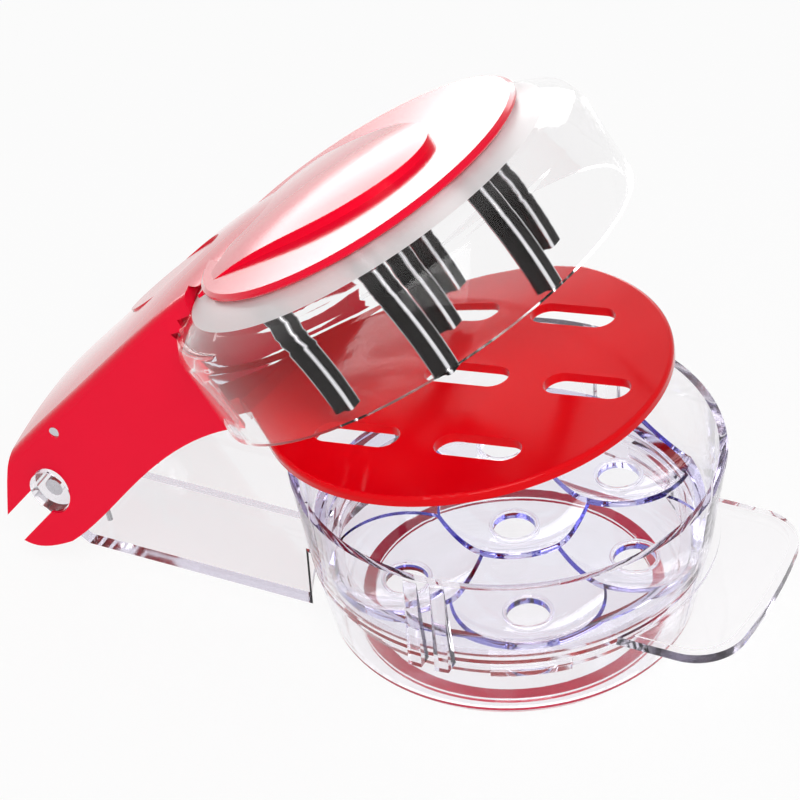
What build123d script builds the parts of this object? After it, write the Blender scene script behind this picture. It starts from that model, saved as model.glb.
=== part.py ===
from build123d import *
from math import asin, atan2, cos, degrees, radians, sin, sqrt
import os

# Cherry pitter in millimetres: +X to the front tab, +Y to the left side, +Z up, table at Z = 0.

# Cups and plungers
PITCH = 33.0
LATTICE_X = 1.0
ROW = PITCH * sqrt(3) / 2
CELLS = {
    "center": (0, 0),
    "front": (PITCH, 0),
    "front_left": (PITCH / 2, ROW),
    "front_right": (PITCH / 2, -ROW),
    "rear_left": (-PITCH / 2, ROW),
    "rear_right": (-PITCH / 2, -ROW),
}
SCREW_X = PITCH / 2
SCREW_Y = ROW / 3

# Clearances
RUNNING = 0.05
SNUG = 0.02
CLEAR = 0.1
TRAY_GAP = 0.3
PLATE_GAP = 0.3
RELIEF = 0.6
FLANK_ROOM = 1.6

# Hinge that the arm and the plate share, and how far both are open
HINGE_X = -116.0
HINGE_Z = 24.5
ARM_OPEN = 33.0
ARM_STOP = 1.2
PLATE_OPEN = 9.2

# Tray: its rim stands off the outermost cup
TRAY_RIM = 14.4
TRAY_TALL = 7.0
DISH_R = 28.2
DISH_WALL = 1.7
PIT_HOLE_R = 5.4
TRAY_LOW_R = LATTICE_X + PITCH + TRAY_RIM

# Bowl
JOINT_Z = 21.4
BOWL_WALL = 2.1
BOWL_FLARE = 4.1
BOWL_TALL = 27.6
LEDGE_THICK = 2.0
BOWL_LOW_R = TRAY_LOW_R + TRAY_GAP + BOWL_WALL
BOWL_TOP_R = BOWL_LOW_R + BOWL_FLARE
BOWL_TOP_Z = JOINT_Z + BOWL_TALL
LEDGE_TOP_Z = JOINT_Z + LEDGE_THICK
RIB_W = 3.6
RIB_X = (-1.0, 6.0)

# Spigot below the bowl and the lugs that hold the container
SPIGOT_STEP = 4.8
SPIGOT_TALL = 5.4
SPIGOT_WALL = 1.8
LUG_OUT = 1.1
LUG_THICK = 1.6
LUG_ARC = 24.0
LUG_TURNS = (60, 180, 300)
SPIGOT_R = BOWL_LOW_R - SPIGOT_STEP
SPIGOT_LOW_Z = JOINT_Z - SPIGOT_TALL
LUG_R = SPIGOT_R + LUG_OUT
LUG_TOP_Z = SPIGOT_LOW_Z + LUG_THICK

# Front tab
TAB_THICK = 2.6
TAB_LIP = 2.2
TAB_DISH = 0.8
TAB_REACH = 20.5
TAB_BOW = 2.8
TAB_ROUND = 13.0
TAB_HALF = 29.5
TAB_TIP_X = BOWL_LOW_R + TAB_REACH
TAB_CORNER_X = TAB_TIP_X - TAB_BOW

# Lower handle
HANDLE_HALF = 26.0
HANDLE_WALL = 2.4
HANDLE_LOW_Z = 4.4
HANDLE_RISE = 7.5
HANDLE_BACK = 9.5
TRUNNION_R = 6.0
TRUNNION_LONG = 6.3
COLLAR_R = 7.5
COLLAR_LONG = 0.5

# Container and foot ring
RIM_STEP = 0.2
CONTAINER_GAP = 1.0
CUP_WALL = 2.2
FOOT_LOW_Z = 0.8
FOOT_BEND = 2.6
FOOT_TAPER = 2.3
CUP_TAPER = 3.7
TABS_GAP = 0.3
TABS_THICK = 2.4
TABS_RISE = 0.6
RING_INSET = 4.5
RING_WIDE = 3.4
RING_TOP_Z = 2.0
RIM_R = BOWL_LOW_R - RIM_STEP
RIM_Z = JOINT_Z - RIM_STEP
FOOT_BEND_R = RIM_R - CUP_TAPER
FOOT_R = FOOT_BEND_R - FOOT_TAPER
FOOT_BEND_Z = FOOT_LOW_Z + FOOT_BEND
RING_OUT_R = FOOT_R - RING_INSET

# Shroud, in the arm's frame: it closes over the bowl
SHROUD_GAP = 1.3
SHROUD_WALL = 2.5
SHROUD_RIM = 2.6
SHROUD_ROOF = 2.3
SHROUD_CONE = 15.5
SHOULDER_DROP = 10.8
SHOULDER_RISE = 3.2
SHOULDER_IN = 1.5
BOSS_LONG = 10.6
BOSS_WIDE = 9.2
BOSS_DEEP = 6.6
BOSS_ROUND = 2.0
SHROUD_IN_R = BOWL_TOP_R + SHROUD_GAP
SHROUD_R = SHROUD_IN_R + SHROUD_WALL
SHROUD_TOP_R = SHROUD_R - SHROUD_CONE

# Plate, in its own frame with the hinge as origin: it comes down on the bowl, inside the shroud
PLATE_THICK = 2.5
PLATE_ROOM = 4.4
PLATE_BACK = 4.4
PLATE_EDGE = 1.1
SLOT_LONG = 23.0
SLOT_WIDE = 8.8
TAIL_HALF = 10.0
TAIL_BEND = 0.7
TAIL_THICK = 6.0
TAIL_ROOT_X = 12.0
TAIL_ROOT_RISE = 1.1
TAIL_HEEL = 3.7
TAIL_KNEE_BACK = 20.5
TAIL_KNEE_DROP = 8.3
PLATE_LAP = 3.5
HUB_R = 6.5
HUB_HALF = 7.0
PLATE_X = -HINGE_X - PLATE_BACK
PLATE_R = SHROUD_IN_R - PLATE_ROOM
PLATE_LOW = BOWL_TOP_Z + PLATE_GAP - HINGE_Z
PLATE_TOP = PLATE_LOW + PLATE_THICK
TAIL_BEND_X = PLATE_X - PLATE_R + TAIL_BEND

# Room over the closed plate, and the shroud's heights from it
ROOF_ROOM = 5.0
SHROUD_CEILING = PLATE_TOP + ROOF_ROOM
SHROUD_TOP = SHROUD_CEILING + SHROUD_ROOF

# Arm, in its own frame with the hinge as origin
AXIS_SHIFT = 0.8
FLANGE_SHIFT = 1.0
FLANGE_LIP = 1.8
FLANGE_THICK = 1.95
FLANGE_GAP = 0.25
FLANGE_CROWN = 0.6
TONGUE_ROOT = 31.0
TONGUE_HALF = 24.3
TONGUE_NOSE = 15.5
TONGUE_LONG = 24.2
ARM_WALL = 2.5
CHEEK_SLOPE = 0.24
NECK_WIDE = 7.6
NECK_TURN = 198.5
ARM_FLOOR = -20.0
AXIS_X = -HINGE_X + AXIS_SHIFT
FLANGE_X = AXIS_X + FLANGE_SHIFT
FLANGE_R = SHROUD_TOP_R + FLANGE_LIP
FLANGE_LOW = SHROUD_TOP + FLANGE_GAP
FLANGE_TOP = FLANGE_LOW + FLANGE_THICK
TONGUE_END_X = AXIS_X + TONGUE_LONG
CHEEK_FRONT_X = AXIS_X - FLANGE_R - 0.3

# Badge blank on top of the arm
BADGE_SHIFT = 20.5
BADGE_DEEP = 6.0
BADGE_SLOPE = 12.0
BADGE_LONG = 38.0
BADGE_WIDE = 17.0
BADGE_THICK = 1.1
BADGE_X = CHEEK_FRONT_X - BADGE_SHIFT
BADGE_FLOOR = FLANGE_TOP - BADGE_DEEP

# Plungers, in the arm's frame
PLUNGER_SHIFT = 0.4
PLUNGER_PAST = 2.75
PLUNGER_LONG = 6.0
PLUNGER_WIDE = 4.6
PLUNGER_ROUND = 0.7
HEAD_LONG = 8.4
HEAD_WIDE = 7.0
HEAD_ROUND = 1.0
HEAD_THICK = 1.7
HEAD_SINK = 0.2
FLUTE_R = 1.5
TRAY_LOW_Z = LEDGE_TOP_Z - DISH_WALL
PLUNGER_RADIUS = LATTICE_X - HINGE_X + PLUNGER_SHIFT
PLUNGER_LOW = TRAY_LOW_Z - PLUNGER_PAST - HINGE_Z
HEAD_TOP = SHROUD_TOP - HEAD_SINK
HEAD_LOW = HEAD_TOP - HEAD_THICK

# Pins, springs and screws
PIN_R = 2.5
PIN_PAST = 2.0
SPRING_PIN_X = 10.1
SPRING_PIN_Z = 13.6
SPRING_PIN_R = 1.5
SPRING_PIN_PAST = 2.2
COIL_R = 3.75
WIRE_R = 0.75
COIL_PITCH = 1.9
COIL_TURNS = 4
COIL_GAP = 1.4
FOOT_SLOPE = 75.0
ARM_LEG = 20.0
PLATE_LEG = 24.0
PLATE_LEG_LIFT = 0.1986
SCREW_R = 1.5
SCREW_HEAD_R = 2.9
SCREW_HEAD = 2.0
SCREW_BITE = 0.6
SCREW_END = FLANGE_TOP + SCREW_BITE

HINGE = Vector(HINGE_X, 0, HINGE_Z)
HINGE_AXIS = Axis((HINGE_X, 0, HINGE_Z), (0, 1, 0))


# Point of a frame turned open about the hinge
def opened(angle, x, y, z):
    a = radians(angle)
    return HINGE + Vector(x * cos(a) - z * sin(a), y, x * sin(a) + z * cos(a))


# Planes of a frame turned open about the hinge: level, side view and cross section
def level_plane(angle, height):
    a = radians(angle)
    return Plane(origin=opened(angle, 0, 0, height), x_dir=(cos(a), 0, sin(a)), z_dir=(-sin(a), 0, cos(a)))


def side_plane(angle):
    a = radians(angle)
    return Plane(origin=HINGE, x_dir=(cos(a), 0, sin(a)), z_dir=(0, -1, 0))


def cross_plane(angle, x):
    a = radians(angle)
    return Plane(origin=opened(angle, x, 0, 0), x_dir=(0, 1, 0), z_dir=(cos(a), 0, sin(a)))


def upright_plane(turn):
    a = radians(turn)
    return Plane(origin=(0, 0, 0), x_dir=(cos(a), sin(a), 0), z_dir=(sin(a), -cos(a), 0))


def save(builder, name):
    builder.part.label = name
    export_step(builder.part, "parts/" + name + ".step")


os.makedirs("parts", exist_ok=True)


# Outline of the front tab, drawn in by an inset
def tab_outline(inset):
    side = TAB_HALF - inset
    corner = TAB_CORNER_X - inset
    with BuildSketch() as outline:
        with BuildLine():
            Polyline((corner, side), (TAB_HALF, side), (TAB_HALF, -side), (corner, -side))
            ThreePointArc((corner, -side), (TAB_TIP_X - inset, 0), (corner, side))
        make_face()
        fillet(outline.vertices().group_by(Axis.X)[-1], radius=TAB_ROUND - inset)
    return outline.sketch


# Lower handle, an open channel with the hinge's trunnions on its sides
with BuildPart() as base_frame:
    with BuildSketch(Plane.XZ) as handle_side:
        with BuildLine():
            Polyline(
                (0, HANDLE_LOW_Z),
                (HINGE_X + 6, HANDLE_LOW_Z),
                (HINGE_X - 6, HINGE_Z - 12),
                (HINGE_X - HANDLE_BACK, HINGE_Z - 4.5),
                (HINGE_X - HANDLE_BACK, HINGE_Z + 2.5),
                (HINGE_X - HANDLE_BACK + 4.5, HINGE_Z + HANDLE_RISE),
                (0, HINGE_Z + HANDLE_RISE),
                close=True,
            )
        make_face()
    extrude(amount=HANDLE_HALF, both=True)
    with BuildSketch(Plane.XZ):
        with BuildLine():
            Polyline(
                (1, HANDLE_LOW_Z + HANDLE_WALL),
                (HINGE_X + 6.5, HANDLE_LOW_Z + HANDLE_WALL),
                (HINGE_X - 6.6 + HANDLE_WALL, HINGE_Z - 10.6),
                (HINGE_X - HANDLE_BACK + HANDLE_WALL, HINGE_Z - 4),
                (HINGE_X - HANDLE_BACK + HANDLE_WALL, HINGE_Z + 2 * HANDLE_RISE),
                (1, HINGE_Z + 2 * HANDLE_RISE),
                close=True,
            )
        make_face()
    extrude(amount=HANDLE_HALF - HANDLE_WALL, both=True, mode=Mode.SUBTRACT)
    with Locations((0, 0, JOINT_Z)):
        Cylinder(
            RIM_R + CONTAINER_GAP,
            JOINT_Z,
            align=(Align.CENTER, Align.CENTER, Align.MAX),
            mode=Mode.SUBTRACT,
        )
    # Upright ribs on both sides
    with BuildSketch(Plane.XY.offset(JOINT_Z)):
        with Locations(*[(x, s * BOWL_TOP_R) for x in RIB_X for s in (1, -1)]):
            Rectangle(RIB_W, 2 * BOWL_FLARE + 2)
        Circle(BOWL_TOP_R, mode=Mode.INTERSECT)
    extrude(amount=BOWL_TOP_Z - JOINT_Z - 1)
    # Room inside the bowl
    with BuildSketch(Plane.XZ):
        with BuildLine():
            Polyline(
                (0, JOINT_Z - 1),
                (BOWL_LOW_R - 1, JOINT_Z - 1),
                (BOWL_LOW_R - 1, JOINT_Z),
                (BOWL_TOP_R - 1, BOWL_TOP_Z),
                (0, BOWL_TOP_Z),
                close=True,
            )
        make_face()
    revolve(axis=Axis.Z, mode=Mode.SUBTRACT)
    # Bowl with the ledge for the tray and the spigot for the container
    with BuildSketch(Plane.XZ):
        with BuildLine():
            Polyline(
                (SPIGOT_R - SPIGOT_WALL, SPIGOT_LOW_Z),
                (SPIGOT_R, SPIGOT_LOW_Z),
                (SPIGOT_R, JOINT_Z),
                (BOWL_LOW_R, JOINT_Z),
                (BOWL_TOP_R, BOWL_TOP_Z),
                (BOWL_TOP_R - BOWL_WALL, BOWL_TOP_Z),
                (BOWL_LOW_R - BOWL_WALL, LEDGE_TOP_Z),
                (SPIGOT_R - SPIGOT_WALL, LEDGE_TOP_Z),
                close=True,
            )
        make_face()
    revolve(axis=Axis.Z)
    # Lugs that the container's tabs turn over
    for turn in LUG_TURNS:
        with BuildSketch(upright_plane(turn - LUG_ARC / 2)):
            with Locations((SPIGOT_R - 0.5, SPIGOT_LOW_Z)):
                Rectangle(LUG_R - SPIGOT_R + 0.5, LUG_TOP_Z - SPIGOT_LOW_Z, align=(Align.MIN, Align.MIN))
        revolve(axis=Axis.Z, revolution_arc=LUG_ARC)
    # Front tab with a dished top
    with BuildSketch(Plane.XY.offset(JOINT_Z)):
        add(tab_outline(0))
        Circle(BOWL_LOW_R - 1, mode=Mode.SUBTRACT)
    extrude(amount=TAB_THICK)
    with BuildSketch(Plane.XY.offset(JOINT_Z + TAB_THICK - TAB_DISH)):
        add(tab_outline(TAB_LIP))
        Circle(BOWL_LOW_R + TAB_LIP, mode=Mode.SUBTRACT)
    extrude(amount=TAB_DISH + 1, mode=Mode.SUBTRACT)
    # Trunnions, collars and the pin's bore
    for side in (1, -1):
        with BuildSketch(Plane.XZ.offset(-side * (HANDLE_HALF - 0.5))):
            with Locations((HINGE_X, HINGE_Z)):
                Circle(COLLAR_R)
        extrude(amount=-side * (COLLAR_LONG + 0.5))
        with BuildSketch(Plane.XZ.offset(-side * (HANDLE_HALF - 0.5))):
            with Locations((HINGE_X, HINGE_Z)):
                Circle(TRUNNION_R)
        extrude(amount=-side * (TRUNNION_LONG + 0.5))
    with BuildSketch(Plane.XZ):
        with Locations((HINGE_X, HINGE_Z)):
            Circle(PIN_R + SNUG)
    extrude(amount=HANDLE_HALF + PIN_PAST + CLEAR, both=True, mode=Mode.SUBTRACT)
save(base_frame, "base_frame")

# Pit container with tabs that turn in over the spigot's lugs
with BuildPart() as pit_container:
    with BuildSketch(Plane.XZ):
        with BuildLine():
            Polyline(
                (0, FOOT_LOW_Z),
                (FOOT_R, FOOT_LOW_Z),
                (FOOT_BEND_R, FOOT_BEND_Z),
                (RIM_R, RIM_Z),
                (RIM_R - CUP_WALL, RIM_Z),
                (FOOT_BEND_R - CUP_WALL, FOOT_BEND_Z),
                (FOOT_BEND_R - CUP_WALL - 1.2, FOOT_LOW_Z + CUP_WALL),
                (0, FOOT_LOW_Z + CUP_WALL),
                close=True,
            )
        make_face()
        with Locations((RING_OUT_R + SNUG, 0)):
            Rectangle(
                RING_WIDE + 2 * SNUG,
                RING_TOP_Z + SNUG,
                align=(Align.MAX, Align.MIN),
                mode=Mode.SUBTRACT,
            )
    revolve(axis=Axis.Z)
    for turn in LUG_TURNS:
        with BuildSketch(upright_plane(turn - LUG_ARC / 2)):
            with Locations((SPIGOT_R + TABS_GAP, LUG_TOP_Z + TABS_RISE)):
                Rectangle(RIM_R - CUP_WALL / 2 - SPIGOT_R, TABS_THICK, align=(Align.MIN, Align.MIN))
        revolve(axis=Axis.Z, revolution_arc=LUG_ARC)
save(pit_container, "pit_container")

# Ring on which it stands
with BuildPart() as non_slip_ring:
    with BuildSketch(Plane.XZ):
        with Locations((RING_OUT_R, 0)):
            Rectangle(RING_WIDE, RING_TOP_Z, align=(Align.MAX, Align.MIN))
    revolve(axis=Axis.Z)
save(non_slip_ring, "non_slip_ring")

# Tray: a thin drum with six round dishes that run into one another
TRAY_TOP_Z = LEDGE_TOP_Z + TRAY_TALL
TRAY_TOP_R = TRAY_LOW_R + BOWL_FLARE * TRAY_TALL / BOWL_TALL
DISH_Z = LEDGE_TOP_Z + DISH_R
CUP_SPOTS = [(LATTICE_X + x, y, DISH_Z) for x, y in CELLS.values()]
HOLE_SPOTS = [(LATTICE_X + x, y, 0) for x, y in CELLS.values()]
with BuildPart() as dishes:
    with Locations(*CUP_SPOTS):
        Sphere(DISH_R + DISH_WALL)
    with BuildSketch(Plane.XZ):
        with BuildLine():
            Polyline(
                (0, TRAY_LOW_Z),
                (SPIGOT_R - SPIGOT_WALL - TRAY_GAP, TRAY_LOW_Z),
                (SPIGOT_R - SPIGOT_WALL - TRAY_GAP, LEDGE_TOP_Z + SNUG),
                (TRAY_LOW_R, LEDGE_TOP_Z + SNUG),
                (TRAY_TOP_R, TRAY_TOP_Z),
                (0, TRAY_TOP_Z),
                close=True,
            )
        make_face()
    revolve(axis=Axis.Z, mode=Mode.INTERSECT)
with BuildPart() as cherry_tray:
    with BuildSketch(Plane.XZ):
        with BuildLine():
            Polyline(
                (0, TRAY_TOP_Z - DISH_WALL),
                (TRAY_LOW_R - DISH_WALL, TRAY_TOP_Z - DISH_WALL),
                (TRAY_LOW_R - DISH_WALL, LEDGE_TOP_Z + SNUG),
                (TRAY_LOW_R, LEDGE_TOP_Z + SNUG),
                (TRAY_TOP_R, TRAY_TOP_Z),
                (0, TRAY_TOP_Z),
                close=True,
            )
        make_face()
    revolve(axis=Axis.Z)
    add(dishes.part)
    with Locations(*CUP_SPOTS):
        Sphere(DISH_R, mode=Mode.SUBTRACT)
    with Locations(*HOLE_SPOTS):
        Cylinder(PIT_HOLE_R, 100, mode=Mode.SUBTRACT)
save(cherry_tray, "cherry_tray")

# Stripper plate: a disc that runs out into a tail, which bends down to a hub on the hinge pin
TANGENT = PLATE_R * sqrt(0.5)
BEND_HALF = 2 * TANGENT - PLATE_X + TAIL_BEND_X


# Outline of the plate's flat part, drawn out by an allowance
def plate_outline(grow):
    near = TANGENT + grow * sqrt(0.5)
    back = TAIL_BEND_X - grow
    half = BEND_HALF + grow * (sqrt(2) - 1)
    with BuildSketch() as outline:
        with BuildLine():
            ThreePointArc((PLATE_X - near, near), (PLATE_X + PLATE_R + grow, 0), (PLATE_X - near, -near))
            Polyline((PLATE_X - near, -near), (back, -half), (back, half), (PLATE_X - near, near))
        make_face()
    return outline.sketch


with BuildPart() as tail:
    with BuildSketch(side_plane(PLATE_OPEN)):
        with BuildLine():
            Polyline(
                (TAIL_BEND_X + PLATE_LAP, PLATE_TOP),
                (TAIL_BEND_X, PLATE_TOP),
                (TAIL_BEND_X - 8.5, PLATE_TOP - 2.3),
                (TAIL_BEND_X - TAIL_KNEE_BACK, PLATE_TOP - TAIL_KNEE_DROP + 0.5),
                (TAIL_ROOT_X, HUB_R + TAIL_ROOT_RISE),
                (0, HUB_R),
                (0, HUB_R - TAIL_THICK - TAIL_HEEL),
                (TAIL_ROOT_X, HUB_R + TAIL_ROOT_RISE - TAIL_THICK),
                (TAIL_BEND_X - TAIL_KNEE_BACK, PLATE_TOP - TAIL_KNEE_DROP - TAIL_THICK),
                (TAIL_BEND_X - 4.3, PLATE_TOP - 0.8 - TAIL_THICK),
                (TAIL_BEND_X - 1.9, PLATE_LOW),
                (TAIL_BEND_X + PLATE_LAP, PLATE_LOW),
                close=True,
            )
        make_face()
    extrude(amount=40, both=True)
    with BuildSketch(level_plane(PLATE_OPEN, -20)):
        with BuildLine():
            Polyline(
                (TAIL_BEND_X + PLATE_LAP, BEND_HALF + PLATE_LAP),
                (TAIL_BEND_X - BEND_HALF + TAIL_HALF, TAIL_HALF),
                (TAIL_ROOT_X, TAIL_HALF),
                (8, HUB_HALF),
                (-5, HUB_HALF),
                (-5, -HUB_HALF),
                (8, -HUB_HALF),
                (TAIL_ROOT_X, -TAIL_HALF),
                (TAIL_BEND_X - BEND_HALF + TAIL_HALF, -TAIL_HALF),
                (TAIL_BEND_X + PLATE_LAP, -BEND_HALF - PLATE_LAP),
                close=True,
            )
        make_face()
    extrude(amount=60, mode=Mode.INTERSECT)
with BuildPart() as stripper_plate:
    with BuildSketch(level_plane(PLATE_OPEN, PLATE_LOW)):
        add(plate_outline(0))
    extrude(amount=PLATE_THICK)
    top_face = stripper_plate.faces().sort_by(Axis(HINGE, level_plane(PLATE_OPEN, 0).z_dir))[-1]
    rim_edges = [e for e in top_face.edges() if e.length > 2 * BEND_HALF + 1 or e.length < 2 * BEND_HALF - 1]
    fillet(rim_edges, radius=PLATE_EDGE)
    add(tail.part)
    with BuildSketch(level_plane(PLATE_OPEN, 0)):
        with Locations(*[(PLATE_X + x, y) for x, y in CELLS.values()]):
            SlotOverall(SLOT_LONG, SLOT_WIDE)
    extrude(amount=40, mode=Mode.SUBTRACT)
    with BuildSketch(Plane.XZ):
        with Locations((HINGE_X, HINGE_Z)):
            Circle(HUB_R)
    extrude(amount=HUB_HALF, both=True)
    with BuildSketch(Plane.XZ):
        with Locations((HINGE_X, HINGE_Z)):
            Circle(PIN_R + RUNNING)
    extrude(amount=HUB_HALF + 1, both=True, mode=Mode.SUBTRACT)
save(stripper_plate, "stripper_plate")

# Sections of the arm from the hinge end to the tongue: place, edge height, crown height, half width, rounding
ARM_SECTIONS = (
    (-24.0, 5.0, 9.0, HANDLE_HALF + 4.5, 4.0),
    (5.3, 16.2, 19.6, HANDLE_HALF + 1.8, 4.0),
    (CHEEK_FRONT_X / 2, FLANGE_TOP - 12.0, FLANGE_TOP - 8.6, HANDLE_HALF - 0.2, 4.0),
    (CHEEK_FRONT_X - 1.5, FLANGE_TOP - 3.2, FLANGE_TOP, HANDLE_HALF - 2.0, 3.0),
    (AXIS_X - 21.8, FLANGE_TOP - 0.6, FLANGE_TOP + 2.4, HANDLE_HALF - 3.7, 2.0),
    (TONGUE_END_X, FLANGE_TOP - 1.2, FLANGE_TOP + 0.6, HANDLE_HALF - 5.4, 1.2),
)
# Sections of the tongue on the flange: place, side height, crown height
TONGUE_SECTIONS = (
    (AXIS_X - 36.8, FLANGE_TOP - 2.2, FLANGE_TOP + 0.9),
    (AXIS_X - 21.8, FLANGE_TOP, FLANGE_TOP + 3.0),
    (TONGUE_END_X + 2.0, FLANGE_TOP - 1.6, FLANGE_TOP + 2.0),
)
TONGUE_SIDE = TONGUE_ROOT + 3.0


# Section of the arm: leaning cheeks and a crowned top with rounded edges, drawn in by an inset
def arm_section(edge, crown, half, rounding, inset):
    low = half + (edge - ARM_FLOOR) * CHEEK_SLOPE - inset
    top = half - inset
    with BuildSketch() as section:
        with BuildLine():
            Polyline((top, edge - inset), (low, ARM_FLOOR), (-low, ARM_FLOOR), (-top, edge - inset))
            ThreePointArc((-top, edge - inset), (0, crown - inset), (top, edge - inset))
        make_face()
        fillet(section.vertices().group_by(Axis.Y)[-1], radius=max(rounding - inset, rounding / 3))
    return section.sketch


def arm_block(inset):
    with BuildPart() as block:
        for place, edge, crown, half, rounding in ARM_SECTIONS:
            with BuildSketch(cross_plane(ARM_OPEN, place)):
                add(arm_section(edge, crown, half, rounding, inset))
        loft()
    return block.part


# Side view plane and upright axis at a place along the arm
def arm_plane(x):
    return Plane(origin=opened(ARM_OPEN, x, 0, 0), x_dir=level_plane(ARM_OPEN, 0).x_dir, z_dir=(0, -1, 0))


def arm_axis(x):
    return Axis(opened(ARM_OPEN, x, 0, 0), level_plane(ARM_OPEN, 0).z_dir)


# Room inside the arm, open below and at the hinge end
with BuildPart() as arm_room:
    add(arm_block(ARM_WALL))
    with BuildSketch(side_plane(ARM_OPEN)):
        with BuildLine():
            Polyline(
                (CHEEK_FRONT_X + 5.5, 2 * ARM_FLOOR),
                (CHEEK_FRONT_X + 5.5, FLANGE_TOP),
                (3, FLANGE_TOP),
                (-5, 12),
                (-9.5, 5.5),
                (-12, 1.5),
                (-26, -4),
                (-26, 2 * ARM_FLOOR),
                close=True,
            )
        make_face()
    extrude(amount=2 * HANDLE_HALF, both=True, mode=Mode.INTERSECT)

# Tongue that runs out from the handle over the flange
with BuildPart() as tongue:
    for place, edge, crown in TONGUE_SECTIONS:
        low = FLANGE_LOW - ARM_WALL
        with BuildSketch(cross_plane(ARM_OPEN, place)):
            with BuildLine():
                Polyline((TONGUE_SIDE, edge), (TONGUE_SIDE, low), (-TONGUE_SIDE, low), (-TONGUE_SIDE, edge))
                ThreePointArc((-TONGUE_SIDE, edge), (0, crown), (TONGUE_SIDE, edge))
            make_face()
    loft()
    with BuildSketch(level_plane(ARM_OPEN, FLANGE_LOW)):
        with BuildLine():
            flank = Spline(
                (AXIS_X - 34, TONGUE_ROOT),
                (AXIS_X - 11, TONGUE_HALF),
                (TONGUE_END_X - TONGUE_NOSE, TONGUE_HALF - 4.5),
                (TONGUE_END_X - TONGUE_NOSE / 4, TONGUE_HALF / 2 - 1.5),
                (TONGUE_END_X, 0),
                tangents=((1, -1), (0, -1)),
            )
            mirror(flank, about=Plane.XZ)
            Line(flank @ 0, (AXIS_X - 34, -TONGUE_ROOT))
        make_face()
    extrude(amount=FLANGE_TOP + 10 - FLANGE_LOW, mode=Mode.INTERSECT)

# Arm: handle and cheeks cut to their side view, then tongue, flange, room, keyholes and recess
with BuildPart() as arm_shell:
    add(arm_block(0))
    with BuildSketch(side_plane(ARM_OPEN)):
        with BuildLine():
            rear = Spline(
                (6, 22),
                (-4.9, 15.5),
                (-12, 7.5),
                (-17, 0),
                (-19.3, -5.6),
                (-16.2, -10.2),
                (-9, -13.2),
                (-0.9, -13.9),
            )
            under = Spline(
                rear @ 1,
                (6.2, -12.4),
                (CHEEK_FRONT_X * 0.24, -9.0),
                (CHEEK_FRONT_X * 0.47, -3.6),
                (CHEEK_FRONT_X * 0.74, 0.2),
                (CHEEK_FRONT_X, -0.6),
            )
            Polyline(
                under @ 1,
                (CHEEK_FRONT_X, FLANGE_LOW),
                (AXIS_X, FLANGE_LOW),
                (AXIS_X, FLANGE_TOP + 10),
                (6, FLANGE_TOP + 10),
                rear @ 0,
            )
        make_face()
    extrude(amount=2 * HANDLE_HALF, both=True, mode=Mode.INTERSECT)
    add(tongue.part)
    with BuildSketch(arm_plane(FLANGE_X)):
        with BuildLine():
            Polyline(
                (0, FLANGE_LOW),
                (FLANGE_R - 0.5, FLANGE_LOW),
                (FLANGE_R, FLANGE_LOW + 0.5),
                (FLANGE_R, FLANGE_TOP - 0.7),
                (FLANGE_R - 1.0, FLANGE_TOP),
                (0, FLANGE_TOP + FLANGE_CROWN),
                close=True,
            )
        make_face()
    revolve(axis=arm_axis(FLANGE_X))
    add(arm_room.part, mode=Mode.SUBTRACT)
    # Room for the bowl's edge, and for the plate's flanks as they come up between the cheeks
    with BuildSketch(level_plane(ARM_OPEN, PLATE_TOP + 2)):
        with Locations((AXIS_X, 0)):
            Circle(SHROUD_IN_R + CLEAR)
    extrude(amount=2 * ARM_FLOOR, mode=Mode.SUBTRACT)
    with BuildSketch(level_plane(ARM_OPEN - ARM_STOP, PLATE_TOP + RELIEF)):
        add(plate_outline(FLANK_ROOM))
        with Locations((TAIL_BEND_X - FLANK_ROOM, 0)):
            Rectangle(SHROUD_CONE, 4 * HANDLE_HALF, align=(Align.MIN, Align.CENTER), mode=Mode.INTERSECT)
    revolve(axis=HINGE_AXIS, revolution_arc=ARM_OPEN - PLATE_OPEN, mode=Mode.SUBTRACT)
    # Keyholes, the spring pin's holes, the screws' holes and the badge's recess
    with BuildSketch(side_plane(ARM_OPEN)):
        Circle(TRUNNION_R + RUNNING)
        with Locations(Location((0, 0, 0), (0, 0, NECK_TURN))):
            Rectangle(HANDLE_HALF, NECK_WIDE, align=(Align.MIN, Align.CENTER))
    extrude(amount=2 * HANDLE_HALF, both=True, mode=Mode.SUBTRACT)
    with BuildSketch(side_plane(ARM_OPEN)):
        with Locations((SPRING_PIN_X, SPRING_PIN_Z)):
            Circle(SPRING_PIN_R + SNUG)
    extrude(amount=2 * HANDLE_HALF, both=True, mode=Mode.SUBTRACT)
    SCREW_SPOTS = [(AXIS_X + x, y) for x in (SCREW_X, -SCREW_X) for y in (SCREW_Y, -SCREW_Y)]
    with BuildSketch(level_plane(ARM_OPEN, SCREW_END + CLEAR)):
        with Locations(*SCREW_SPOTS):
            Circle(SCREW_R + SNUG)
    extrude(amount=-BADGE_DEEP, mode=Mode.SUBTRACT)
    BADGE_PLANE = Plane(
        origin=opened(ARM_OPEN, BADGE_X, 0, BADGE_FLOOR),
        x_dir=level_plane(ARM_OPEN + BADGE_SLOPE, 0).x_dir,
        z_dir=level_plane(ARM_OPEN + BADGE_SLOPE, 0).z_dir,
    )
    with BuildSketch(BADGE_PLANE):
        Ellipse(BADGE_LONG / 2, BADGE_WIDE / 2)
    extrude(amount=BADGE_DEEP, mode=Mode.SUBTRACT)
save(arm_shell, "arm_shell")

with BuildPart() as badge_blank:
    with BuildSketch(BADGE_PLANE.offset(SNUG)):
        Ellipse(BADGE_LONG / 2 - CLEAR, BADGE_WIDE / 2 - CLEAR)
    extrude(amount=BADGE_THICK)
save(badge_blank, "badge_blank")

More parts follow.
